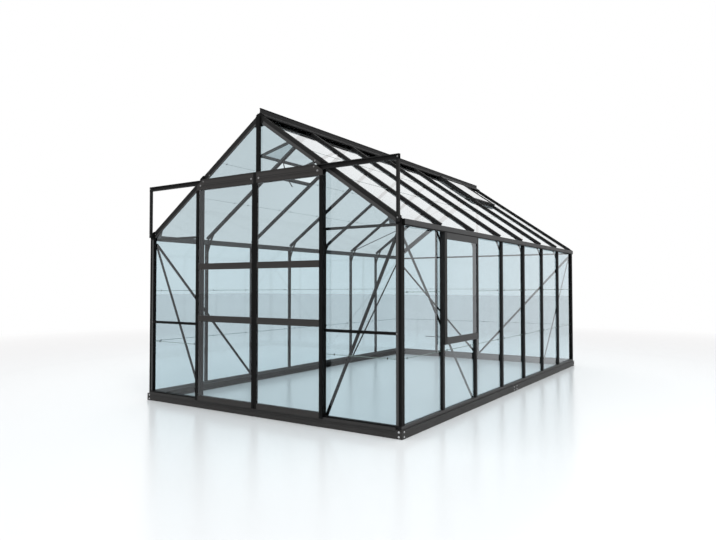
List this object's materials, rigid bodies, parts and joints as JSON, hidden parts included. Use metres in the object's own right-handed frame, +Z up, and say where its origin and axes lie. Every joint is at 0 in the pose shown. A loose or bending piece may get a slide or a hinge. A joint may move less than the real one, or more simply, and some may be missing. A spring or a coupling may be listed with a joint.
{
  "type": "glass greenhouse",
  "caption": "Aluminium greenhouse with glass panes, a pitched roof, sliding doors on an overhead track, a side window, roof vents and a low plinth.",
  "frame": {"origin": "centre of the footprint, doors included, at ground level", "axes": "+Z up, +Y along the ridge from the door gable to the back gable, +X to the right as one faces the doors from outside"},
  "size_m": [2.58, 4.4936, 2.397],
  "materials": {
    "frame_aluminium": "dark grey powder coat, satin",
    "plinth_steel": "dark grey powder coat on steel, satin",
    "glass": "clear horticultural glass with a faint blue-green tint",
    "nylon": "black nylon rollers"
  },
  "bodies": {
    "frame": {"apex_gussets": "frame_aluminium", "back_gable_bars": "frame_aluminium", "back_gable_glass": "glass", "corner_posts": "frame_aluminium", "door_guide": "frame_aluminium", "door_head": "frame_aluminium", "door_track": "frame_aluminium", "eave_gussets": "frame_aluminium", "eave_knees": "frame_aluminium", "front_gable_bars": "frame_aluminium", "front_gable_glass": "glass", "gable_braces": "frame_aluminium", "gable_eave_rails": "frame_aluminium", "gable_mid_rails": "frame_aluminium", "gable_plinths": "plinth_steel", "gable_sills": "frame_aluminium", "gutters": "frame_aluminium", "left_wall_glass": "glass", "ridge": "frame_aluminium", "right_wall_glass": "glass", "roof_bars_left": "frame_aluminium", "roof_bars_right": "frame_aluminium", "roof_glass_left": "frame_aluminium", "roof_glass_right": "frame_aluminium", "side_bars_left": "frame_aluminium", "side_bars_right": "frame_aluminium", "side_braces": "frame_aluminium", "side_plinths": "plinth_steel", "side_sills": "frame_aluminium", "side_window_glass": "glass", "side_window_rails": "frame_aluminium", "side_window_stay": "frame_aluminium", "side_window_stiles": "frame_aluminium", "side_window_surround": "frame_aluminium", "track_struts": "frame_aluminium", "vent_glass": "glass", "vent_hinges": "frame_aluminium", "vent_rails": "frame_aluminium", "vent_sills": "frame_aluminium", "vent_stiles": "frame_aluminium", "verge_bars": "frame_aluminium"},
    "left_door": {"left_door_glass": "glass", "left_door_rails": "frame_aluminium", "left_door_stiles": "frame_aluminium", "left_door_wheels": "nylon"},
    "right_door": {"right_door_glass": "glass", "right_door_rails": "frame_aluminium", "right_door_stiles": "frame_aluminium", "right_door_wheels": "nylon"}
  },
  "joints": [
    {"name": "left_door_slide", "type": "slide", "parent": "frame", "child": "left_door", "axis": [-1, 0, 0], "range_m": [0, 0.575]},
    {"name": "right_door_slide", "type": "slide", "parent": "frame", "child": "right_door", "axis": [1, 0, 0], "range_m": [0, 0.575]}
  ]
}
